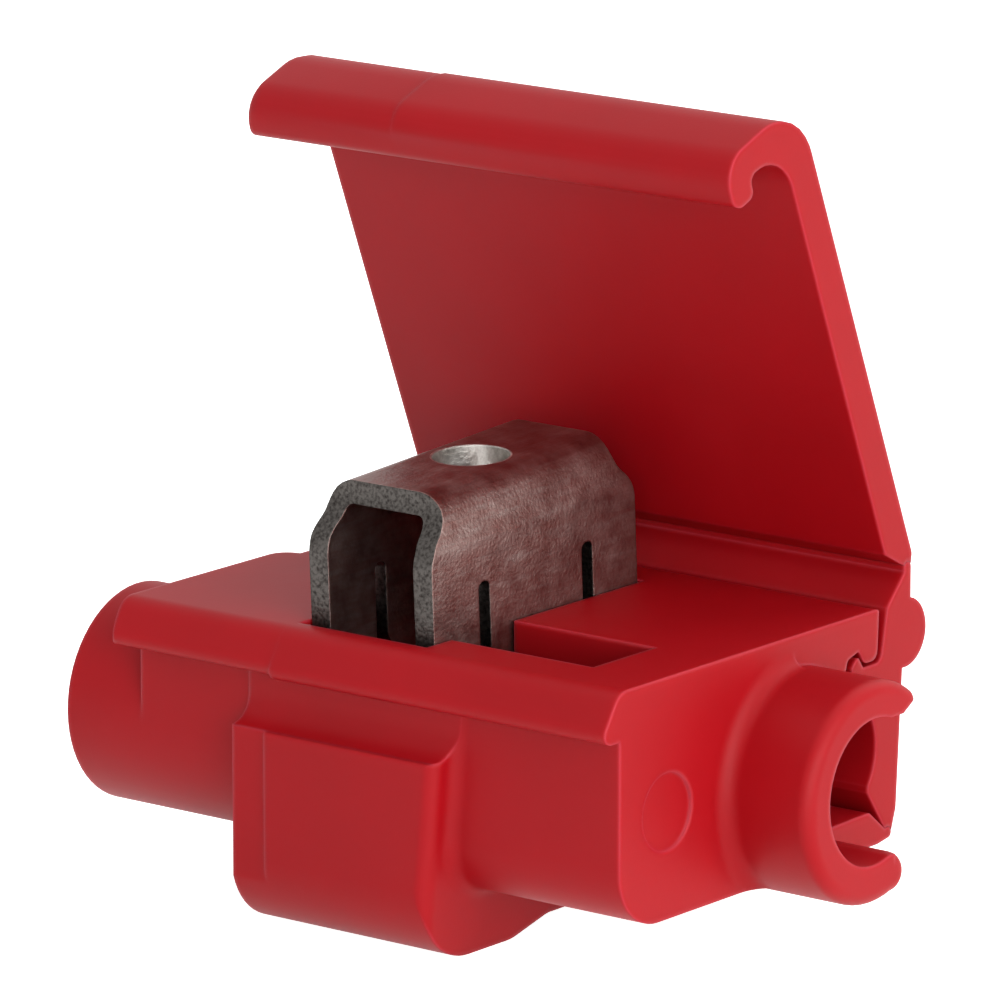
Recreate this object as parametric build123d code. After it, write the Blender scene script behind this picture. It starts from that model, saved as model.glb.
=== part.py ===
"""Run-and-tap wire splice connector: a moulded body with a film-hinged side gate and cover,
and a folded contact that is pressed down over both wires.

The real moulding is one piece. Its housing, gate and cover turn against each other at two film
hinges, so each is a solid of its own that ends at the middle of its film.

Sizes are in millimetres. While the pieces are drawn, x runs along the wires with 0 at the right end
face, y runs back from the front wall, and z runs up from the deck. At the end everything is moved so
that the origin is the bottom centre of the whole part.
"""
from build123d import *
import math
import os

# Wire for the run, and the channel that holds it
run_y, run_z = 9.5, -4.8
run_radius = 2.4         # half height of the channel
floor_thickness = 1.1
floor_top = run_z - run_radius
ceiling = run_z + run_radius
body_depth = floor_thickness - floor_top

# Barrel that leads the run wire in at the right end
run_bore_radius = 2.56
run_barrel_radius = 3.85
run_barrel_length = 3.5
run_barrel_back = 0.1    # barrel centre behind the channel centre
run_barrel_drop = 0.1    # barrel centre below the channel centre
run_barrel_flare = 0.6   # radius where the barrel meets the end face
run_barrel_round = 0.45  # radius around its mouth
upper_jaw_reach = 1.6    # flat underside of the upper jaw, back from the channel centre
barb_reach, barb_rise = 0.6, 0.35
lower_jaw_reach = 1.2    # centre of the lower jaw's round tip, back from the channel centre

# Barrel and bore for the tap wire
tap_radius = 1.95
tap_barrel_radius = 3.83
tap_barrel_length = 3.35
tap_end_wall = 2.75      # solid stretch left at the right end
tap_lead_in = 0.35       # chamfer at the bore's mouth
tap_y = tap_barrel_radius
tap_z = tap_barrel_radius - body_depth

# Housing block
body_length = 20.65      # between the two end faces
front_round = 2.1        # radius of the lower front edge
floor_ridge = 0.1        # rise of the floor at its rear edge
deck_back = 14.5         # rear edge of the deck plate
deck_edge = 0.8          # radius along the deck's front edge
deck_overhang = 0.75     # deck plate past the left end face
overhang_back = 8.6      # how far back that overhang reaches
overhang_round, lip_end_round = 0.8, 1.1
deck_rim = 1.75          # thickness of the deck's rear rim
rim_width = 0.85
notch_depth = 0.5        # latch notch, up from the rim's underside
notch_width = 0.95

# Where two halves of the mould meet, and the small step that they leave
witness_x = -14.3
witness_step = 0.1

# Front lip that the cover snaps over
lip_reach = 1.1
lip_drop = 1.7
lip_round = 0.35

# Contact
sheet = 0.8
contact_width = 5.3      # across the legs
contact_length = 11.2    # along y
contact_height = 8.3     # top face to the prongs' ends
shoulder = 1.03          # step in from the legs to the top plate at each end
shoulder_top, shoulder_bottom = 0.95, 1.85
joggle = 0.16            # each leg's step out from the top bend
joggle_top, joggle_bottom = 1.15, 1.75
bend_radius = 1.1
slot_width = 0.6
slot_top = 3.35          # slots start this far below the top face
funnel_top = 6.0         # where a slot starts to widen towards its mouth
funnel_width = 3.0
hole_diameter = 2.7
prong_chamfer = 0.5
contact_pitch = 3.0      # degrees, rear end higher
contact_raised = 5.15    # middle of the top face above the deck
contact_travel = 5.5     # from raised to pressed home

# Pocket for the contact
contact_centre_x = -11.5
side_clearance = 0.1
end_clearance = 0.3
leg_room = 0.3           # below the prongs when pressed home
saddle_top = -4.2        # top of the part between the two leg slots, which carries both wires

# Boss around the pocket
boss_wall_left, boss_wall_right = 1.6, 1.95
boss_front = 1.1         # in front of the front wall
boss_top = -3.4
boss_ramp = 0.95         # radius of the hollow between boss and lip
boss_floor = 1.35
boss_back_wall = 0.9
boss_valley = 0.5        # rise of the underside between its two lobes
boss_round = 2.6
boss_edge = 0.5          # radius of its right front edge
boss_draft = 5.0         # degrees that its right side leans in towards the bottom
boss_foot = 0.5          # radius of the hollow where its right side meets the front wall

# Sight window over the tap bore
window_width = 3.4
window_end = 2.75        # from the right end face

# Round mark on the right end face
mark_y, mark_z, mark_diameter, mark_depth = 2.6, -4.6, 2.7, 0.1

# Film hinges
film = 0.38
film_r = film / 2
film_gap = 0.03          # between the two halves of a film
film_rise = 0.1          # lower film above the housing's underside
gate_thickness = 1.0     # at the lower film, inside of the bend
floor_wedge, gate_low_wedge = 39.0, 35.0     # degrees between each wall and its bevel
gate_high_wedge, cover_wedge = 43.0, 40.0

# Gate
latch_gap = 0.15
gate_top_gap = 0.5       # between the deck's rear edge and the gate, at the top
gate_top_thickness = 1.34
gate_inner = deck_back - 0.55
gate_hinge_y = gate_inner + gate_thickness + film_r
gate_hinge_z = -body_depth + film_r + film_rise
gate_outer_low, gate_outer_high = gate_hinge_y + 0.45, gate_hinge_y + 0.75
gate_foot = 0.8          # height of the rounded corner at the gate's foot
cradle_radius, cradle_depth = 2.2, 0.45
bead_radius, bead_z = 1.23, -1.12
bead_out = 0.32          # bead centre in front of the gate's upper outer face
latch_thickness = 0.75
latch_reach = 1.2        # from the deck's rear edge to the latch's raised tip

# Cover
cover_angle = 68.0       # degrees open
cover_gap = 0.2          # under the closed cover
cover_thickness = 1.35
cover_back = 0.4         # outer face of the cover above the middle of its film
cover_hinge_y = deck_back + gate_top_gap + gate_top_thickness - film_r
cover_hinge_z = cover_gap + cover_thickness - cover_back
cover_heel = 0.35        # slope from the film to the outer face
cover_inset = 0.45       # left edge of the plate inside the hook's left end
hook_wall = 1.1
hook_clearance = 0.08
hook_nose = 1.1
hook_catch = 0.65        # how far the nose reaches behind the lip's tip
hook_round = 2.1
hook_inner_round = 1.6
hook_step, hook_taper = 0.04, 0.2    # falls of the hook's outer face at the witness line and at its left end

deck_left = -body_length - deck_overhang
contact_y = (tap_y + run_y) / 2
contact_left = contact_centre_x - contact_width / 2
contact_right = contact_centre_x + contact_width / 2
pitch = math.radians(contact_pitch)
pressed_low = contact_raised - contact_travel - contact_height
pocket_floor = pressed_low - contact_length / 2 * math.sin(pitch) - leg_room
slant = contact_height * math.sin(pitch) / 2
pocket_front = contact_y - contact_length / 2 - slant - end_clearance + shoulder / 4
pocket_back = contact_y + contact_length / 2 + slant + end_clearance
barrel_y, barrel_z = run_y + run_barrel_back, run_z - run_barrel_drop


def outline(*corners):
    """A closed face on the YZ plane. Each corner is (y, z) or (y, z, radius)."""
    points = [Vector(c[0], c[1]) for c in corners]
    radii = [c[2] if len(c) > 2 else 0 for c in corners]
    edges, starts, ends = [], [], []
    for i, (corner, radius) in enumerate(zip(points, radii)):
        to_last = (points[i - 1] - corner).normalized()
        to_next = (points[(i + 1) % len(points)] - corner).normalized()
        if not radius:
            starts.append(corner)
            ends.append(corner)
            continue
        half = math.radians(to_last.get_angle(to_next)) / 2
        start = corner + to_last * (radius / math.tan(half))
        end = corner + to_next * (radius / math.tan(half))
        middle = corner + (to_last + to_next).normalized() * (radius / math.sin(half) - radius)
        edges.append(ThreePointArc(start, middle, end))
        starts.append(start)
        ends.append(end)
    for i, end in enumerate(ends):
        edges.append(Line(end, starts[(i + 1) % len(starts)]))
    return Plane.YZ * make_face(edges)


def prism(face, x_low, x_high):
    """A face on the YZ plane, stretched between two x values."""
    return Pos(x_low, 0, 0) * extrude(face, amount=x_high - x_low)


def block(x_low, x_high, y_low, y_high, z_low, z_high):
    """A plain box between two corners."""
    size = Box(x_high - x_low, y_high - y_low, z_high - z_low, align=(Align.MIN,) * 3)
    return Pos(x_low, y_low, z_low) * size


def rod(radius, y, z, x_low, x_high):
    """A round bar along x."""
    return prism(Plane.YZ * Pos(y, z) * Circle(radius), x_low, x_high)


def rounded_rod(radius, y, z, x_low, x_high, mouth_round):
    """A round bar along x, with the edge at its right end rounded."""
    bar = rod(radius, y, z, x_low, x_high)
    return fillet(bar.faces().sort_by(Axis.X)[-1].edges(), mouth_round)


def step_from(start, angle, length):
    """The point at a distance from start, in a direction given in degrees from +y towards +z."""
    turn = math.radians(angle)
    return start[0] + length * math.cos(turn), start[1] + length * math.sin(turn)


def body_face(lip_size, front_radius):
    """Section through the deck, front lip, floor and front wall. The rear side is open for the run wire."""
    apex = step_from((gate_hinge_y, gate_hinge_z), 135, film_r)
    bevel = (floor_top + floor_ridge - apex[1]) / math.sin(math.radians(floor_wedge))
    ridge = step_from(apex, 180 - floor_wedge, bevel)
    reach, drop = lip_size
    rim_low = -deck_rim
    rim_front = deck_back - rim_width
    notch_front = rim_front - notch_width
    return outline(
        (0, 0, deck_edge),
        (-reach, -drop, lip_round),
        (0, -drop),
        (0, -body_depth, front_radius),
        (gate_hinge_y - 0.6, -body_depth, 0.5),
        (gate_hinge_y, gate_hinge_z - film_r),
        (gate_hinge_y, gate_hinge_z),
        apex,
        ridge,
        (run_y, floor_top),
        (run_y, ceiling),
        (notch_front - 0.3, ceiling, 0.2),
        (notch_front, rim_low + notch_depth * 0.6, 0.2),
        (rim_front - 0.3, rim_low + notch_depth, 0.15),
        (rim_front + 0.05, rim_low, 0.2),
        (deck_back - 0.1, rim_low, 0.35),
        (deck_back, 0, 0.12),
    )


def make_main_block():
    """The block in two lengths: left of the mould's witness line its lower front edge follows the tap barrel."""
    right = prism(body_face((lip_reach, lip_drop), front_round), witness_x, 0)
    small_lip = (lip_reach - witness_step, lip_drop - witness_step)
    left = prism(body_face(small_lip, tap_barrel_radius), -body_length, witness_x)
    return right + left + rod(film_r, gate_hinge_y, gate_hinge_z, -body_length, 0)


def make_overhang():
    """The deck plate's short overhang past the left end face, with rounded corners."""
    reach, drop = lip_reach - witness_step, lip_drop - witness_step
    face = outline(
        (0, 0, deck_edge),
        (-reach, -drop, lip_round),
        (overhang_back, -drop),
        (overhang_back, 0),
    )
    plate = prism(face, deck_left, -body_length + 0.5)
    plan = block(deck_left, -body_length + 1, -reach - lip_round, overhang_back, -drop - 1, 1)
    left_corners = plan.edges().filter_by(Axis.Z).group_by(Axis.X)[0].sort_by(Axis.Y)
    plan = fillet(left_corners[0], lip_end_round)
    left_corners = plan.edges().filter_by(Axis.Z).group_by(Axis.X)[0].sort_by(Axis.Y)
    return plate & fillet(left_corners[-1], overhang_round)


def make_run_barrel():
    """The open-backed barrel on the right end that leads the run wire in."""
    outer = rounded_rod(run_barrel_radius, barrel_y, barrel_z, 0, run_barrel_length, run_barrel_round)
    flare_top = run_barrel_radius + run_barrel_flare
    flare_root = run_barrel_radius - 0.2
    flare_face = Plane.XY * make_face([
        Line((0, flare_root), (0, flare_top)),
        RadiusArc((0, flare_top), (run_barrel_flare, run_barrel_radius), -run_barrel_flare),
        Line((run_barrel_flare, run_barrel_radius), (run_barrel_flare, flare_root)),
        Line((run_barrel_flare, flare_root), (0, flare_root)),
    ])
    flare = Pos(0, barrel_y, barrel_z) * revolve(flare_face, Axis.X)
    flare = flare & block(0, run_barrel_flare, 0, barrel_y, -body_depth, 0)
    tip_y = run_y + upper_jaw_reach
    low_y = run_y + lower_jaw_reach
    jaw_low = barrel_z - math.sqrt(run_barrel_radius ** 2 - (low_y - barrel_y) ** 2)
    tip_radius = (floor_top - jaw_low) / 2
    behind = barrel_y + run_barrel_radius + 1
    opening = outline(
        (low_y, floor_top),
        (run_y, floor_top),
        (run_y, ceiling),
        (tip_y, ceiling),
        (tip_y + barb_reach, ceiling + barb_rise, 0.08),
        (tip_y + barb_reach + 0.2, ceiling + 3 * barb_rise),
        (behind, ceiling + 3 * barb_rise),
        (behind, jaw_low - 1),
        (low_y, jaw_low - 1),
    )
    barrel = outer + flare - prism(opening, -1, run_barrel_length + 1)
    tip_z = (floor_top + jaw_low) / 2
    tip_round = min(run_barrel_round, 0.65 * tip_radius)
    return barrel + rounded_rod(tip_radius, low_y, tip_z, 0, run_barrel_length, tip_round)


def make_boss():
    """The two-lobed boss below the pocket, with a hollow between it and the front lip."""
    low = pocket_floor - boss_floor
    back = pocket_back + boss_back_wall
    valley = low + boss_valley
    face = outline(
        (1, -lip_drop + 0.2),
        (-witness_step, -lip_drop + 0.2),
        (-witness_step, boss_top, boss_ramp),
        (-boss_front, boss_top, 0.15),
        (-boss_front, low, boss_round),
        (tap_y, low, 2.0),
        (contact_y - 0.9, valley, 1.2),
        (contact_y + 0.6, valley, 1.2),
        (run_y - 1.4, low, 2.0),
        (back, low, 1.0),
        (back, -body_depth + 0.6),
        (1, -body_depth + 0.6),
    )
    left = contact_left - boss_wall_left
    right = contact_right + boss_wall_right
    front = -boss_front
    mould = block(left - right - 1, 0, front, back + 1, low - 1, 1)
    mould = fillet(mould.edges().filter_by(Axis.Z).group_by(Axis.Y)[0].sort_by(Axis.X)[-1], boss_edge)
    leaning = Pos(right, 0, boss_top) * Rot(0, boss_draft, 0) * Pos(0, 0, -boss_top) * mould
    boss = prism(face, left, right + 1) & leaning
    return boss - block(left - 1, witness_x, front - 1, front + witness_step, low - 1, boss_top + 1)


def at_boss_foot(edge):
    """Whether an edge runs where the boss's right side meets the front wall or the round below it."""
    box = edge.bounding_box()
    right = contact_right + boss_wall_right
    beside = right - 1 < box.min.X and box.max.X < right + 0.5
    return beside and box.min.Y > -0.01 and box.max.Y < front_round + 0.01 and box.min.Z > -body_depth - 0.01


def make_pocket():
    """The well for the contact: open under the top plate, and deep where the legs go down."""
    left = contact_left - side_clearance
    right = contact_right + side_clearance
    well = block(left, right, pocket_front, pocket_back, saddle_top, 1)
    slot = sheet + joggle + 2 * side_clearance
    deep = block(left, left + slot, pocket_front, pocket_back, pocket_floor, 0)
    return well + deep + Pos(right - left - slot, 0, 0) * deep


def make_housing():
    """The main block with its barrels and boss, and the bores, pocket and window cut through them."""
    tap_mouth = -body_length - tap_barrel_length
    shape = make_main_block() + make_boss()
    shape = fillet(shape.edges().filter_by(at_boss_foot), boss_foot) + make_overhang() + make_run_barrel()
    shape += rod(tap_barrel_radius, tap_y, tap_z, tap_mouth, -body_length)
    shape -= rod(run_radius, run_y, run_z, -body_length - 1, 1)
    shape -= rod(run_bore_radius, run_y, run_z, 0, run_barrel_length + 1)
    shape -= rod(tap_radius, tap_y, tap_z, tap_mouth - 1, -tap_end_wall)
    to_mouth = Pos(tap_mouth, tap_y, tap_z) * Rot(0, 90, 0)
    shape -= to_mouth * Cone(
        tap_radius + tap_lead_in, tap_radius, tap_lead_in, align=(Align.CENTER, Align.CENTER, Align.MIN))
    shape -= make_pocket()
    window_front, window_rear = tap_y - window_width / 2, tap_y + window_width / 2
    shape -= block(contact_right, -window_end, window_front, window_rear, tap_z, 1)
    return shape - rod(mark_diameter / 2, mark_y, mark_z, -mark_depth, 1)


def make_gate():
    """The side wall behind the run wire, from the lower film to the upper one."""
    low_apex = step_from((gate_hinge_y, gate_hinge_z), 135, film_r)
    high_apex = step_from((cover_hinge_y, cover_hinge_z), 225, film_r)
    low_bevel = (low_apex[0] - gate_inner) / math.sin(math.radians(gate_low_wedge))
    low_corner = step_from(low_apex, 90 + gate_low_wedge, low_bevel)
    seam_y = deck_back + latch_gap
    top_inner = deck_back + gate_top_gap
    high_bevel = (high_apex[0] - top_inner) / math.sin(math.radians(gate_high_wedge))
    high_corner = step_from(high_apex, 270 - gate_high_wedge, high_bevel)
    nose_top = -deck_rim - latch_gap
    nose_back = deck_back - rim_width - latch_gap
    nose_low = nose_top - latch_thickness
    latch_tip = deck_back - latch_reach
    bead_y = cover_hinge_y + film_r - bead_out
    face = outline(
        (gate_hinge_y, gate_hinge_z),
        (gate_hinge_y + film_r, gate_hinge_z),
        (gate_outer_low, gate_hinge_z + gate_foot, gate_foot),
        (gate_outer_high, bead_z - bead_radius),
        (cover_hinge_y + film_r, bead_z),
        (cover_hinge_y + film_r, cover_hinge_z),
        (cover_hinge_y, cover_hinge_z),
        high_apex,
        high_corner,
        (seam_y, nose_top, 0.35),
        (nose_back + 0.12, nose_top, 0.1),
        (latch_tip, nose_top + notch_depth - 0.05, 0.08),
        (latch_tip - 0.35, nose_top + 0.1, 0.1),
        (latch_tip - 0.2, nose_low, 0.25),
        (gate_inner, nose_low - 0.3, 0.3),
        (gate_inner, low_corner[1]),
        low_apex,
    )
    gate = prism(face, -body_length, 0)
    gate += rod(film_r, cover_hinge_y, cover_hinge_z, -body_length, 0)
    outside = block(-body_length, 0, gate_outer_low, bead_y + 2 * bead_radius, -body_depth, -bead_z)
    gate += rod(bead_radius, bead_y, bead_z, -body_length, 0) & outside
    gate -= rod(cradle_radius, gate_inner - cradle_radius + cradle_depth, run_z, -body_length, 0)
    return gate - rod(film_r + film_gap, gate_hinge_y, gate_hinge_z, -body_length, 0)


def make_cover():
    """The cover, drawn closed over the deck and then turned open about the upper film."""
    apex = step_from((cover_hinge_y, cover_hinge_z), 225, film_r)
    bevel = (apex[1] - cover_gap) / math.sin(math.radians(cover_wedge))
    corner = step_from(apex, 180 + cover_wedge, bevel)
    top = cover_hinge_z + cover_back
    hook_inner = -lip_reach - hook_clearance
    hook_outer = hook_inner - hook_wall
    nose_top = -lip_drop - hook_clearance
    nose_low = nose_top - hook_nose
    nose_tip = -lip_reach + hook_catch
    face = outline(
        (cover_hinge_y - cover_heel, top, 0.3),
        (cover_hinge_y, cover_hinge_z + film_r),
        (cover_hinge_y, cover_hinge_z),
        apex,
        corner,
        (hook_inner, cover_gap, hook_inner_round),
        (hook_inner, nose_top, 0.35),
        (nose_tip, nose_top, 0.3),
        (nose_tip, nose_low, 0.45),
        (hook_outer, nose_low, 1.1),
        (hook_outer, top, hook_round),
    )
    cover = prism(face, -body_length, 0)
    cover -= rod(film_r + film_gap, cover_hinge_y, cover_hinge_z, -body_length, 0)
    left_edge = -body_length + cover_inset
    cover -= block(-body_length - 1, left_edge, hook_inner + hook_wall / 2, cover_hinge_y + 1, -1, top + 1)
    taper = Plane.XY.offset(nose_low - 1) * make_face(Polyline(
        (witness_x, hook_outer - 1),
        (witness_x, hook_outer + hook_step),
        (-body_length, hook_outer + hook_taper),
        (-body_length, hook_outer - 1),
        close=True))
    cover -= extrude(taper, amount=top - nose_low + 2)
    hinge = Axis((0, cover_hinge_y, cover_hinge_z), (-1, 0, 0))
    return cover.rotate(hinge, cover_angle)


def make_contact():
    """The folded contact, drawn about the middle of its top face, then pitched and raised."""
    half = contact_width / 2
    inner = half - joggle
    low = -contact_height
    right_side = [
        (inner, 0, bend_radius),
        (inner, -joggle_top, 0.4),
        (half, -joggle_bottom, 0.4),
        (half, low),
        (half - sheet, low),
        (half - sheet, -joggle_bottom, 0.3),
        (inner - sheet, -joggle_top, 0.3),
        (inner - sheet, -sheet, bend_radius - sheet),
    ]
    left_side = [(-c[0], *c[1:]) for c in reversed(right_side)]
    section = Plane.XZ * (Plane.YZ.location.inverse() * outline(*right_side, *left_side))
    folded = Pos(0, contact_length / 2, 0) * extrude(section, amount=contact_length)
    long_half = contact_length / 2
    top_half = long_half - shoulder
    side = outline(
        (-top_half, 1), (top_half, 1),
        (top_half, -shoulder_top, 0.7), (long_half, -shoulder_bottom, 0.7),
        (long_half, low + prong_chamfer), (long_half - prong_chamfer, low),
        (prong_chamfer - long_half, low), (-long_half, low + prong_chamfer),
        (-long_half, -shoulder_bottom, 0.7), (-top_half, -shoulder_top, 0.7),
    )
    contact = folded & prism(side, -half - 1, half + 1)
    slot = outline(
        (-slot_width / 2, -slot_top, 0.25), (slot_width / 2, -slot_top, 0.25),
        (slot_width / 2, -funnel_top, 0.4), (funnel_width / 2, low, 0),
        (funnel_width / 2, low - 1), (-funnel_width / 2, low - 1),
        (-funnel_width / 2, low, 0), (-slot_width / 2, -funnel_top, 0.4),
    )
    for wire_y in (tap_y, run_y):
        contact -= Pos(0, wire_y - contact_y, 0) * prism(slot, -half - 1, half + 1)
    contact -= Cylinder(hole_diameter / 2, 4 * sheet)
    return Pos(contact_centre_x, contact_y, contact_raised) * Rot(contact_pitch, 0, 0) * contact


x_middle = (run_barrel_length - body_length - tap_barrel_length) / 2
y_middle = (cover_hinge_y + film_r - bead_out + bead_radius - lip_reach) / 2
to_origin = Pos(-x_middle, -y_middle, -(pocket_floor - boss_floor))

pieces = {
    "housing": make_housing(),
    "side_gate": make_gate(),
    "cover": make_cover(),
    "contact": make_contact(),
}
os.makedirs("parts", exist_ok=True)
for name, piece in pieces.items():
    placed = to_origin * piece
    placed.label = name
    export_step(placed, f"parts/{name}.step")
    box = placed.bounding_box()
    print(name, len(placed.solids()), "solids", round(placed.volume, 2), "mm3", box.min, box.max)
for name, y, z in (("gate hinge", gate_hinge_y, gate_hinge_z), ("cover hinge", cover_hinge_y, cover_hinge_z)):
    print(name, (to_origin * Pos(0, y, z)).position)
print("tap bore mouth", (to_origin * Pos(-body_length - tap_barrel_length, tap_y, tap_z)).position)
print("run channel right mouth", (to_origin * Pos(run_barrel_length, run_y, run_z)).position)
print("pocket", pocket_front, pocket_back, pocket_floor)
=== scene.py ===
# %% [markdown]
# # A run-and-tap wire splice connector
# The real object is one red polypropylene moulding that folds over two wires, and a small folded
# contact of tin-plated brass that bites into both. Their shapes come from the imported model, which
# is loaded here as a fixed frame, and this lesson gives them their finish, their light and their view.

# %% Load the frame
import math

import bmesh
import bpy
from mathutils import Matrix, Vector


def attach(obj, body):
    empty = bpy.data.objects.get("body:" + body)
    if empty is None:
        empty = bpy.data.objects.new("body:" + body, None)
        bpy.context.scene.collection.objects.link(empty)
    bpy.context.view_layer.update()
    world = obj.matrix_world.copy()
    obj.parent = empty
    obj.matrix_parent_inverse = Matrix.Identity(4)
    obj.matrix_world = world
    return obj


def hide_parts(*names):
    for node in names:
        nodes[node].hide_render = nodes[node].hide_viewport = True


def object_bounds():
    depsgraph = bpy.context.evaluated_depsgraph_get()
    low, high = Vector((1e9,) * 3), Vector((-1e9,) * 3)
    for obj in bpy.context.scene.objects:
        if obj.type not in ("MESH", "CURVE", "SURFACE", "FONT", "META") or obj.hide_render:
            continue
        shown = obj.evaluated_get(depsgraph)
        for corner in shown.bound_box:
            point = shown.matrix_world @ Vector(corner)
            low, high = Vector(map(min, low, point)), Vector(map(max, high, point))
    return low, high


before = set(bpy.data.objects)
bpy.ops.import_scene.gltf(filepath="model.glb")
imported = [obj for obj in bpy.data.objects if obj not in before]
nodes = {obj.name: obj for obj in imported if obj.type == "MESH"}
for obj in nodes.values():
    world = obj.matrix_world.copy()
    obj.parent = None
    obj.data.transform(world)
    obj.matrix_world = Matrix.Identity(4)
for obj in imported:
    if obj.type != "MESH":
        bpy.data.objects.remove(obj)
cad_low, cad_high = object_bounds()
print("pieces:", sorted(nodes))
print("size in mm:", [round(1000 * side, 2) for side in cad_high - cad_low])

# %% [markdown]
# ## Helpers
# Materials here are built from nodes. Writing each node by hand takes many lines, so one small function
# adds a node with its settings and links. A second one turns a colour as seen on a screen into the
# linear values that a renderer mixes.

# %% One helper for nodes, one for colours
MM = 0.001


def linear(hex_code):
    """An sRGB colour such as "b01c22" as linear red, green, blue and a full alpha."""
    channels = [int(hex_code[i:i + 2], 16) / 255 for i in (0, 2, 4)]
    return [c / 12.92 if c <= 0.04045 else ((c + 0.055) / 1.055) ** 2.4 for c in channels] + [1.0]


def add_node(tree, kind, settings=None, **sockets):
    """Adds a node. Its sockets are named by their label in lower case, with a number where a label repeats.

    The value of a socket is a number, a colour or the output of another node.
    """
    node = tree.nodes.new(kind)
    for name, value in (settings or {}).items():
        setattr(node, name, value)
    for label, value in sockets.items():
        wanted = label.replace("_", " ")
        found = [s for s in node.inputs if s.name.lower() == wanted and s.enabled]
        place = 0
        if not found:
            wanted, place = wanted.rsplit(" ", 1)
            found = [s for s in node.inputs if s.name.lower() == wanted and s.enabled]
        socket = found[int(place)]
        if isinstance(value, bpy.types.NodeSocket):
            tree.links.new(value, socket)
        else:
            socket.default_value = value
    return node


def new_material(name):
    """An empty node material and its tree."""
    material = bpy.data.materials.new(name)
    material.use_nodes = True
    material.node_tree.nodes.clear()
    return material, material.node_tree


print("a mid red in linear light:", [round(c, 3) for c in linear("b01c22")])

# %% [markdown]
# ## Polypropylene
# The moulding is red polypropylene, straight from a lightly eroded steel mould. To the eye that is an
# even, saturated red with a satin skin: broad pinkish highlights with soft edges, faint flow clouds a
# few millimetres wide, and a very fine grain. The plastic lets a little light in. Its rounded edges get a
# painted highlight: a pale pink is mixed into the colour there.

# %% Red polypropylene, moulded
RED = "a30612"
RED_DEEP = "9a050f"
# The edge colour is a painted highlight, mixed into the colour on the rounded edges.
RED_EDGE_HIGHLIGHT = "d2485a"
EDGE_MM, EDGE_FULL_AT, EDGE_SHARE = 0.25, 0.7, 0.45
FLOW_CLOUD_MM, CLOUD_HEIGHT_MM, CLOUD_BUMP = 7.0, 0.12, 0.35
CLOUD_DEEP_AT, CLOUD_RED_AT = 0.3, 0.7
GRAIN_MM, GRAIN_HEIGHT_MM, GRAIN_BUMP = 0.12, 0.01, 0.25
SATIN_ROUGHNESS, SATIN_SPECULAR, PLASTIC_IOR = 0.5, 0.2, 1.49
LIGHT_LET_IN, LIGHT_REACH_MM, REACH_BY_COLOUR = 0.4, 1.0, (1.0, 0.25, 0.2)


def polypropylene(name):
    """Satin red: flow clouds in its colour, a painted pale pink highlight on its edges and a fine grain on
    its skin.
    """
    material, tree = new_material(name)
    place = add_node(tree, "ShaderNodeTexCoord").outputs["Object"]
    clouds = add_node(tree, "ShaderNodeTexNoise", vector=place, scale=1 / (FLOW_CLOUD_MM * MM), detail=3.0)
    tint = add_node(tree, "ShaderNodeValToRGB", fac=clouds.outputs[0])
    deep, bright = tint.color_ramp.elements
    deep.position, deep.color = CLOUD_DEEP_AT, linear(RED_DEEP)
    bright.position, bright.color = CLOUD_RED_AT, linear(RED)
    grain = add_node(tree, "ShaderNodeTexNoise", vector=place, scale=1 / (GRAIN_MM * MM), detail=2.0)
    edges = add_node(tree, "ShaderNodeBevel", {"samples": 8}, radius=EDGE_MM * MM)
    turned = add_node(tree, "ShaderNodeVectorMath", {"operation": "DOT_PRODUCT"}, vector_0=edges.outputs[0],
                      vector_1=add_node(tree, "ShaderNodeNewGeometry").outputs["True Normal"])
    # Painted highlight: where the rounded normal turns away from the true one, pale pink is mixed into the
    # colour.
    glow = add_node(tree, "ShaderNodeMapRange", value=turned.outputs["Value"], from_min=1.0,
                    from_max=EDGE_FULL_AT, to_max=EDGE_SHARE)
    colour = add_node(tree, "ShaderNodeMix", {"data_type": "RGBA"}, factor=glow.outputs[0], a=tint.outputs[0],
                      b=linear(RED_EDGE_HIGHLIGHT))
    skin = add_node(tree, "ShaderNodeBump", strength=GRAIN_BUMP, distance=GRAIN_HEIGHT_MM * MM,
                    height=grain.outputs[0], normal=edges.outputs[0])
    waves = add_node(tree, "ShaderNodeBump", strength=CLOUD_BUMP, distance=CLOUD_HEIGHT_MM * MM,
                     height=clouds.outputs[0], normal=skin.outputs[0])
    shader = add_node(tree, "ShaderNodeBsdfPrincipled", base_color=colour.outputs["Result"],
                      roughness=SATIN_ROUGHNESS, ior=PLASTIC_IOR, specular_ior_level=SATIN_SPECULAR,
                      normal=waves.outputs[0], subsurface_weight=LIGHT_LET_IN,
                      subsurface_scale=LIGHT_REACH_MM * MM)
    shader.inputs["Subsurface Radius"].default_value = REACH_BY_COLOUR
    add_node(tree, "ShaderNodeOutputMaterial", surface=shader.outputs[0])
    return material


red_plastic = polypropylene("red_polypropylene_moulded")
for name in ("housing", "side_gate", "cover"):
    nodes[name].data.materials.clear()
    nodes[name].data.materials.append(red_plastic)
print("polypropylene on housing, side_gate and cover")
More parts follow.
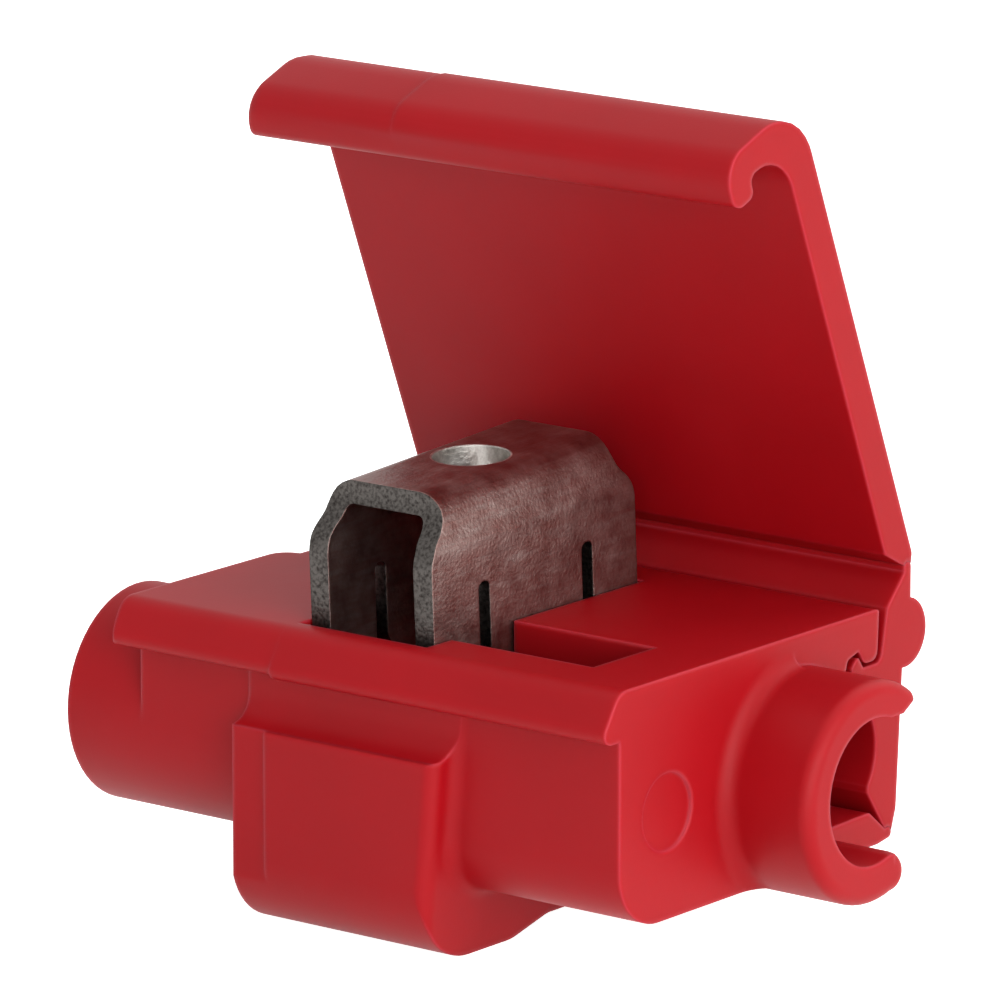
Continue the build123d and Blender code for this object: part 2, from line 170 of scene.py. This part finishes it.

# %% [markdown]
# ## Tin-plated brass
# The contact is stamped from brass sheet, folded and barrel plated with tin. Tumbling and folding leave it
# dull and scuffed: a dark grey with fine streaks along the sheet, paler where the bends have rubbed. A
# painted reflection of the red plastic around it is mixed in along the streaks. Where the sheet was sheared,
# the edge is granular with dark specks. The wall of the punched hole is painted pale and bright, a painted
# reflection of the white light behind it, in brighter and dimmer patches. The sheared edges are found by
# their direction, and the wall of the hole by its distance from the hole's axis.

# %% Tin plate, its sheared edges and its punched hole
TIN = "a0908a"
TIN_DARK = "7b605b"
# The warm red tin colour is a painted reflection of the red plastic around the contact.
TIN_RED_REFLECTION = "7d4840"
SHEARED = "534f4c"
SHEARED_SPECK = "2c2826"
# The two hole colours are a painted reflection of the white light behind the hole, in brighter and dimmer
# patches.
HOLE_WALL_REFLECTION = "e0dcd6"
HOLE_WALL_DIM_REFLECTION = "857f78"
HOLE_RADIUS_MM, HOLE_MARGIN_MM = 1.35, 0.06
MOTTLE_MM, GRIT_MM = 1.3, 0.13
STREAK_MM, STREAK_STRETCH, STREAK_SHARE = 0.22, 0.12, 0.4
PATCH_LOW, PATCH_HIGH = 0.35, 0.65
SPECK_LOW, SPECK_HIGH = 0.3, 0.6
CUT_FACING = 0.3
POLISHED, DULLED = 0.3, 0.5
TIN_EDGE_MM, TIN_BUMP_MM, PIT_BUMP, STREAK_BUMP = 0.1, 0.03, 0.6, 0.2


def tin_plate(name, hole_axis):
    """Scuffed plate with a painted red reflection along its streaks, other colours on the sheared edges and a
    painted pale reflection on the wall of the punched hole.
    """
    material, tree = new_material(name)
    coordinates = add_node(tree, "ShaderNodeTexCoord")
    place = coordinates.outputs["Object"]
    along_sheet = add_node(tree, "ShaderNodeMapping", vector=place,
                           scale=(1.0, STREAK_STRETCH, 1.0)).outputs[0]
    mottle = add_node(tree, "ShaderNodeTexNoise", vector=place, scale=1 / (MOTTLE_MM * MM), detail=6.0,
                      roughness=0.7).outputs[0]
    streaks = add_node(tree, "ShaderNodeTexNoise", vector=along_sheet, scale=1 / (STREAK_MM * MM),
                       detail=4.0).outputs[0]
    grit = add_node(tree, "ShaderNodeTexNoise", vector=place, scale=1 / (GRIT_MM * MM), detail=3.0).outputs[0]

    rubbed = add_node(tree, "ShaderNodeMapRange", value=mottle, from_min=PATCH_LOW,
                      from_max=PATCH_HIGH).outputs[0]
    plate = add_node(tree, "ShaderNodeMix", {"data_type": "RGBA"}, factor=rubbed, a=linear(TIN_DARK),
                     b=linear(TIN)).outputs["Result"]
    # Painted reflection: the red around the contact is mixed into the plate along the streaks.
    streaks_and_red_reflection = add_node(tree, "ShaderNodeMapRange", value=streaks, from_min=PATCH_LOW, from_max=PATCH_HIGH,
                     to_max=STREAK_SHARE).outputs[0]
    skin = add_node(tree, "ShaderNodeMix", {"data_type": "RGBA"}, factor=streaks_and_red_reflection, a=plate,
                    b=linear(TIN_RED_REFLECTION)).outputs["Result"]

    speck = add_node(tree, "ShaderNodeMapRange", value=grit, from_min=SPECK_LOW,
                     from_max=SPECK_HIGH).outputs[0]
    edge = add_node(tree, "ShaderNodeMix", {"data_type": "RGBA"}, factor=speck, a=linear(SHEARED_SPECK),
                    b=linear(SHEARED)).outputs["Result"]
    normal = add_node(tree, "ShaderNodeSeparateXYZ", vector=coordinates.outputs["Normal"]).outputs
    facing = add_node(tree, "ShaderNodeMath", {"operation": "ABSOLUTE"}, value_0=normal["Y"]).outputs[0]
    is_edge = add_node(tree, "ShaderNodeMath", {"operation": "GREATER_THAN"}, value_0=facing,
                       value_1=CUT_FACING).outputs[0]
    outside = add_node(tree, "ShaderNodeMix", {"data_type": "RGBA"}, factor=is_edge, a=skin,
                       b=edge).outputs["Result"]

    away = add_node(tree, "ShaderNodeVectorMath", {"operation": "SUBTRACT"}, vector_0=place,
                    vector_1=hole_axis).outputs[0]
    level = add_node(tree, "ShaderNodeVectorMath", {"operation": "MULTIPLY"}, vector_0=away,
                     vector_1=(1.0, 1.0, 0.0)).outputs[0]
    radius = add_node(tree, "ShaderNodeVectorMath", {"operation": "LENGTH"}, vector_0=level).outputs["Value"]
    is_hole = add_node(tree, "ShaderNodeMath", {"operation": "LESS_THAN"}, value_0=radius,
                       value_1=(HOLE_RADIUS_MM + HOLE_MARGIN_MM) * MM).outputs[0]
    # Painted reflection on the hole's wall: pale, in brighter and dimmer patches by the same mottle.
    wall = add_node(tree, "ShaderNodeMix", {"data_type": "RGBA"}, factor=rubbed, a=linear(HOLE_WALL_DIM_REFLECTION),
                    b=linear(HOLE_WALL_REFLECTION)).outputs["Result"]
    colour = add_node(tree, "ShaderNodeMix", {"data_type": "RGBA"}, factor=is_hole, a=outside,
                      b=wall).outputs["Result"]

    dull = add_node(tree, "ShaderNodeMapRange", value=mottle, to_min=POLISHED, to_max=DULLED).outputs[0]
    edges = add_node(tree, "ShaderNodeBevel", {"samples": 4}, radius=TIN_EDGE_MM * MM).outputs[0]
    pits = add_node(tree, "ShaderNodeBump", strength=PIT_BUMP, distance=TIN_BUMP_MM * MM, height=grit,
                    normal=edges).outputs[0]
    lines = add_node(tree, "ShaderNodeBump", strength=STREAK_BUMP, distance=TIN_BUMP_MM * MM,
                     height=streaks, normal=pits).outputs[0]
    shader = add_node(tree, "ShaderNodeBsdfPrincipled", base_color=colour, metallic=1.0, roughness=dull,
                      normal=lines)
    add_node(tree, "ShaderNodeOutputMaterial", surface=shader.outputs[0])
    return material


TOP_MIDDLE = Vector((-1.25, -1.41, 15.7431))
tin = tin_plate("tin_plated_brass", TOP_MIDDLE * MM)
nodes["contact"].data.materials.clear()
nodes["contact"].data.materials.append(tin)
print("tin plate on contact, hole axis in mm:", [round(c, 2) for c in TOP_MIDDLE])

# %% [markdown]
# ## Folded contact
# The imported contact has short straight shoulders. On the real one the ends swing from the top plate out to
# the legs in an S-curve, and the step in each leg is soft, because the sheet was pressed over a rounded
# tool. Those forms are made here: the U is drawn as an outline and extruded, then its side view, the slots
# for the two wires and the punched hole are cut with booleans. It is drawn in millimetres about the middle
# of its top face.

# %% Outlines, solids and cuts
ARC_STEPS = 8
CIRCLE_SIDES = 48
SHARP_DEGREES = 30


def rounded(corners):
    """A closed outline from corners of (first, second, radius)."""
    points = []
    for i, (u, v, radius) in enumerate(corners):
        corner = Vector((u, v))
        to_last = (Vector(corners[i - 1][:2]) - corner).normalized()
        to_next = (Vector(corners[(i + 1) % len(corners)][:2]) - corner).normalized()
        half = to_last.angle(to_next) / 2
        centre = corner + (to_last + to_next).normalized() * (radius / math.sin(half))
        first = corner + to_last * (radius / math.tan(half)) - centre
        last = corner + to_next * (radius / math.tan(half)) - centre
        steps = ARC_STEPS if radius else 0
        for step in range(steps + 1):
            swing = first.lerp(last, step / max(steps, 1))
            points.append(centre + swing.normalized() * radius if radius else corner)
    return points


def loft(name, rings):
    """A closed solid that runs through rings of equally many points."""
    count = len(rings[0])
    corners = [point for ring in rings for point in ring]
    ends = [tuple(reversed(range(count))), tuple(range(len(corners) - count, len(corners)))]
    sides = [(start + i, start + (i + 1) % count, start + (i + 1) % count + count, start + i + count)
             for start in range(0, len(corners) - count, count) for i in range(count)]
    mesh = bpy.data.meshes.new(name)
    mesh.from_pydata(corners, [], ends + sides)
    shape = bmesh.new()
    shape.from_mesh(mesh)
    bmesh.ops.recalc_face_normals(shape, faces=shape.faces)
    shape.to_mesh(mesh)
    shape.free()
    obj = bpy.data.objects.new(name, mesh)
    bpy.context.scene.collection.objects.link(obj)
    return obj


def prism(name, points, to_space, low, high):
    """A closed solid between two copies of an outline."""
    return loft(name, [[to_space(p.x, p.y, end) for p in points] for end in (low, high)])


def circle(radius):
    """An outline of equal sides about the origin."""
    turns = [2 * math.pi * i / CIRCLE_SIDES for i in range(CIRCLE_SIDES)]
    return [Vector((radius * math.cos(turn), radius * math.sin(turn))) for turn in turns]


def cut(body, tool, operation):
    """Cuts a body with a tool and removes the tool."""
    modifier = body.modifiers.new("cut", "BOOLEAN")
    modifier.object, modifier.operation, modifier.solver = tool, operation, "EXACT"
    evaluated = body.evaluated_get(bpy.context.evaluated_depsgraph_get())
    result = bpy.data.meshes.new_from_object(evaluated)
    body.modifiers.clear()
    body.data = result
    bpy.data.objects.remove(tool)


def finish_piece(piece, placed, material):
    """Takes a piece from its own millimetres to its place, and smooths its round faces."""
    piece.data.transform(Matrix.Scale(MM, 4) @ placed)
    piece.data.shade_smooth()
    piece.data.set_sharp_from_angle(angle=math.radians(SHARP_DEGREES))
    piece.data.materials.clear()
    piece.data.materials.append(material)


print("steps in each rounded corner:", ARC_STEPS)

# %% The folded contact
SHEET, HALF_WIDTH, HALF_LENGTH, HEIGHT = 0.8, 2.65, 5.6, 8.3
BEND, STEP_IN, STEP_TOP, STEP_BOTTOM, STEP_ROUND = 1.1, 0.16, 1.05, 1.85, 1.0
SHOULDER, SHOULDER_TOP, SHOULDER_BOTTOM, SHOULDER_ROUND = 1.03, 0.95, 1.85, 1.45
PRONG_CHAMFER = 0.5
SLOT_HALF, SLOT_TOP, SLOT_ROUND = 0.3, 3.35, 0.25
FUNNEL_HALF, FUNNEL_TOP, FUNNEL_ROUND = 1.5, 6.0, 0.4
WIRES_FROM_MIDDLE = (-2.835, 2.835)
TOOL_HALF = 4
TOOL_PAST = 1
PITCH_DEGREES = 3.0


def folded_contact():
    """The U from its end, trimmed to its side view, with two slots in each leg and the hole in its top."""
    top_half = HALF_WIDTH - STEP_IN
    right_leg = [(top_half, 0, BEND), (top_half, -STEP_TOP, STEP_ROUND),
                 (HALF_WIDTH, -STEP_BOTTOM, STEP_ROUND), (HALF_WIDTH, -HEIGHT, 0),
                 (HALF_WIDTH - SHEET, -HEIGHT, 0), (HALF_WIDTH - SHEET, -STEP_BOTTOM, STEP_ROUND),
                 (top_half - SHEET, -STEP_TOP, STEP_ROUND), (top_half - SHEET, -SHEET, BEND - SHEET)]
    left_leg = [(-u, v, radius) for u, v, radius in reversed(right_leg)]
    body = prism("folded_contact", rounded(right_leg + left_leg), lambda u, v, w: (u, w, v),
                 -HALF_LENGTH, HALF_LENGTH)

    front_half = [(HALF_LENGTH - SHOULDER, TOOL_PAST, 0),
                  (HALF_LENGTH - SHOULDER, -SHOULDER_TOP, SHOULDER_ROUND),
                  (HALF_LENGTH, -SHOULDER_BOTTOM, SHOULDER_ROUND), (HALF_LENGTH, PRONG_CHAMFER - HEIGHT, 0),
                  (HALF_LENGTH - PRONG_CHAMFER, -HEIGHT, 0)]
    back_half = [(-u, v, radius) for u, v, radius in reversed(front_half)]
    side_view = prism("side_view", rounded(front_half + back_half), lambda u, v, w: (w, u, v),
                      -TOOL_HALF, TOOL_HALF)
    cut(body, side_view, "INTERSECT")

    slot_right = [(SLOT_HALF, -SLOT_TOP, SLOT_ROUND), (SLOT_HALF, -FUNNEL_TOP, FUNNEL_ROUND),
                  (FUNNEL_HALF, -HEIGHT, 0), (FUNNEL_HALF, -HEIGHT - TOOL_PAST, 0)]
    slot_left = [(-u, v, radius) for u, v, radius in reversed(slot_right)]
    slot = rounded(slot_right + slot_left)
    for wire in WIRES_FROM_MIDDLE:
        cut(body, prism("slot", slot, lambda u, v, w: (w, wire + u, v), -TOOL_HALF, TOOL_HALF), "DIFFERENCE")
    punch = prism("punch", circle(HOLE_RADIUS_MM), lambda u, v, w: (u, v, w), -SHEET - TOOL_PAST, TOOL_PAST)
    cut(body, punch, "DIFFERENCE")

    pitched = Matrix.Translation(TOP_MIDDLE) @ Matrix.Rotation(math.radians(PITCH_DEGREES), 4, "X")
    finish_piece(body, pitched, tin)
    return body


contact = folded_contact()
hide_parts("contact")
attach(contact, "contact")
print("folded contact:", len(contact.data.polygons), "faces")

# %% [markdown]
# ## Cover with its hook
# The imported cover's hook has a flat at its left end, where a plane stands in for the mould's taper. On the
# real one the hook stays round: past the mould line it falls back a little, and its end is rounded off. A
# loft through six outlines gives that. The cover is drawn closed over the deck, in the deck's own
# millimetres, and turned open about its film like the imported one.

# %% The cover
HINGE_Y, HINGE_Z, FILM_CUT, FILM_HALF = 16.15, 1.15, 0.22, 0.19
COVER_TOP, COVER_UNDER, HEEL, HEEL_ROUND = 1.55, 0.2, 0.35, 0.3
BEVEL_START, BEVEL_END = (16.0156, 1.0156), (15.0436, 0.2)
HOOK_INNER, HOOK_OUTER, NOSE_TIP, NOSE_TOP, NOSE_LOW = -1.18, -2.28, -0.45, -1.78, -2.88
INNER_ROUND, OUTER_ROUND, OUTER_LOW_ROUND = 1.6, 2.1, 1.1
NOSE_ROOT_ROUND, NOSE_TOP_ROUND, NOSE_LOW_ROUND = 0.35, 0.3, 0.45
COVER_LEFT, PLATE_LEFT, PLATE_CUT_FRONT = -20.65, -20.2, -0.63
DECK_TO_PART = Vector((10.25, -8.075, 10.5931))
OPEN_DEGREES = 68.0
# Each outline: its place along the cover, how far the hook's face falls back, how far its top falls.
COVER_RINGS = [(0.0, 0.0, 0.0), (-14.3, 0.0, 0.0), (-14.33, 0.05, 0.0), (-20.2, 0.04, 0.0),
               (-20.5, 0.11, 0.04), (COVER_LEFT, 0.26, 0.12)]


def cover_outline(front_fall, top_fall):
    """The cover seen from its end, with the hook's outer face and top set back."""
    top, outer = COVER_TOP - top_fall, HOOK_OUTER + front_fall
    return rounded([(HINGE_Y - HEEL, top, HEEL_ROUND), (HINGE_Y, HINGE_Z + FILM_HALF, 0),
                    (HINGE_Y, HINGE_Z, 0), (*BEVEL_START, 0), (*BEVEL_END, 0),
                    (HOOK_INNER, COVER_UNDER, INNER_ROUND), (HOOK_INNER, NOSE_TOP, NOSE_ROOT_ROUND),
                    (NOSE_TIP, NOSE_TOP, NOSE_TOP_ROUND), (NOSE_TIP, NOSE_LOW, NOSE_LOW_ROUND),
                    (outer, NOSE_LOW, OUTER_LOW_ROUND), (outer, top, OUTER_ROUND)])


def hooked_cover():
    """The loft, parted at the film, with the plate's left end set in past the hook, turned open."""
    rings = [[(x, p.x, p.y) for p in cover_outline(front_fall, top_fall)]
             for x, front_fall, top_fall in COVER_RINGS]
    body = loft("hooked_cover", rings)
    tool_left = COVER_LEFT - TOOL_PAST
    film = prism("film_cut", circle(FILM_CUT), lambda u, v, w: (w, HINGE_Y + u, HINGE_Z + v),
                 tool_left, TOOL_PAST)
    cut(body, film, "DIFFERENCE")
    back, above = HINGE_Y + TOOL_PAST, COVER_TOP + TOOL_PAST
    inset = [Vector(corner) for corner in ((PLATE_CUT_FRONT, -TOOL_PAST), (back, -TOOL_PAST),
                                           (back, above), (PLATE_CUT_FRONT, above))]
    cut(body, prism("plate_inset", inset, lambda u, v, w: (w, u, v), tool_left, PLATE_LEFT), "DIFFERENCE")
    hinge = Vector((0, HINGE_Y, HINGE_Z))
    opened = Matrix.Translation(DECK_TO_PART + hinge) @ Matrix.Rotation(-math.radians(OPEN_DEGREES), 4, "X")
    finish_piece(body, opened @ Matrix.Translation(-hinge), red_plastic)
    return body


cover = hooked_cover()
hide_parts("cover")
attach(cover, "cover")
print("cover:", len(cover.data.polygons), "faces")

# %% [markdown]
# ## Floor and world
# The photograph is a plain studio shot on white. A pale floor keeps the soft shadow of the object, and
# the world is white where the camera or a shiny surface sees it.

# %% Floor and world
FLOOR_SIDE = 2.0
PAPER, WHITE = "f4f4f4", "ffffff"
AMBIENT = 0.27


def straight_or_shiny(tree):
    """1 where the camera, a shiny surface or a clear one sees the surroundings, and 0 for diffuse light."""
    seen = add_node(tree, "ShaderNodeLightPath").outputs
    mirrored = add_node(tree, "ShaderNodeMath", {"operation": "MAXIMUM"},
                        value_0=seen["Is Glossy Ray"], value_1=seen["Is Transmission Ray"])
    return add_node(tree, "ShaderNodeMath", {"operation": "MAXIMUM"},
                    value_0=seen["Is Camera Ray"], value_1=mirrored.outputs[0]).outputs[0]


def pale_floor():
    """White paper under the object, which glows only where it is seen straight or in a reflection."""
    mesh = bpy.data.meshes.new("floor")
    half = FLOOR_SIDE / 2
    corners = [(-half, -half, 0), (half, -half, 0), (half, half, 0), (-half, half, 0)]
    mesh.from_pydata(corners, [], [(0, 1, 2, 3)])
    floor = bpy.data.objects.new("floor", mesh)
    bpy.context.scene.collection.objects.link(floor)
    material, tree = new_material("pale_paper")
    paper = add_node(tree, "ShaderNodeBsdfDiffuse", color=linear(PAPER))
    glow = add_node(tree, "ShaderNodeEmission", color=linear(WHITE), strength=straight_or_shiny(tree))
    both = add_node(tree, "ShaderNodeAddShader", shader_0=paper.outputs[0], shader_1=glow.outputs[0])
    add_node(tree, "ShaderNodeOutputMaterial", surface=both.outputs[0])
    mesh.materials.append(material)


def white_world():
    """White where it is seen, and dimmer where it only lights the object from all sides."""
    world = bpy.data.worlds.new("studio")
    bpy.context.scene.world = world
    world.use_nodes = True
    tree = world.node_tree
    tree.nodes.clear()
    strength = add_node(tree, "ShaderNodeMapRange", value=straight_or_shiny(tree), to_min=AMBIENT, to_max=1.0)
    light = add_node(tree, "ShaderNodeBackground", color=linear(WHITE), strength=strength.outputs[0])
    add_node(tree, "ShaderNodeOutputWorld", surface=light.outputs[0])


pale_floor()
white_world()
print("floor side in m:", FLOOR_SIDE)

# %% [markdown]
# ## Lamps
# Two large softboxes make the broad highlights on the front and the right, one above lights the deck and
# the plate, a small low one reaches under the lip, and one behind keeps the rear from going dark.


# %% Lamps
def lamp(name, place, aim, side, watts):
    """A square area lamp that faces a point."""
    data = bpy.data.lights.new(name, "AREA")
    data.size, data.energy = side, watts
    obj = bpy.data.objects.new(name, data)
    obj.location = place
    obj.rotation_euler = (Vector(aim) - Vector(place)).to_track_quat("-Z", "Y").to_euler()
    bpy.context.scene.collection.objects.link(obj)


middle = (cad_low + cad_high) / 2
lamp("front_left_softbox", (-0.20, -0.34, 0.10), middle, 0.6, 0.25)
lamp("right_softbox", (0.36, -0.06, 0.07), middle, 0.4, 1.75)
lamp("top_softbox", (0.06, -0.05, 0.5), middle, 0.5, 1.0)
lamp("low_front_right_softbox", (0.22, -0.24, 0.02), middle, 0.25, 0.7)
lamp("rear_softbox", (0.14, 0.38, 0.34), middle, 0.4, 0.7)
print("five softboxes aimed at", [round(c, 4) for c in middle])

# %% [markdown]
# ## Camera
# The camera stands 30 cm away, to the right of the front and a little above. Its lens is given in pixels of
# the 1000 pixel photograph, and it is shifted sideways and up so that the object lies where it does there.

# %% Camera
AZIMUTH, ELEVATION = math.radians(38.2), math.radians(13.2)
DISTANCE_MM, FOCAL_PX = 300.0, 8790.0
AIM_MM = (0.0, 0.0, 12.0)
SHIFT_RIGHT_MM, SHIFT_UP_MM = -0.87, 2.047
PHOTO_SIDE_PX, SENSOR_MM = 1000, 36.0
NEAREST, FARTHEST = 0.01, 10

look = Vector((-math.sin(AZIMUTH) * math.cos(ELEVATION), math.cos(AZIMUTH) * math.cos(ELEVATION),
               -math.sin(ELEVATION)))
right = Vector((math.cos(AZIMUTH), math.sin(AZIMUTH), 0))
up = right.cross(look)
camera_data = bpy.data.cameras.new("camera")
camera_data.sensor_width = SENSOR_MM
camera_data.lens = FOCAL_PX * SENSOR_MM / PHOTO_SIDE_PX
camera_data.clip_start, camera_data.clip_end = NEAREST, FARTHEST
camera = bpy.data.objects.new("camera", camera_data)
camera.location = (Vector(AIM_MM) - look * DISTANCE_MM + right * SHIFT_RIGHT_MM + up * SHIFT_UP_MM) * MM
camera.rotation_euler = look.to_track_quat("-Z", "Y").to_euler()
bpy.context.scene.collection.objects.link(camera)
bpy.context.scene.camera = camera
bpy.context.scene.view_settings.view_transform = "Standard"
print("lens in mm:", round(camera_data.lens, 1))
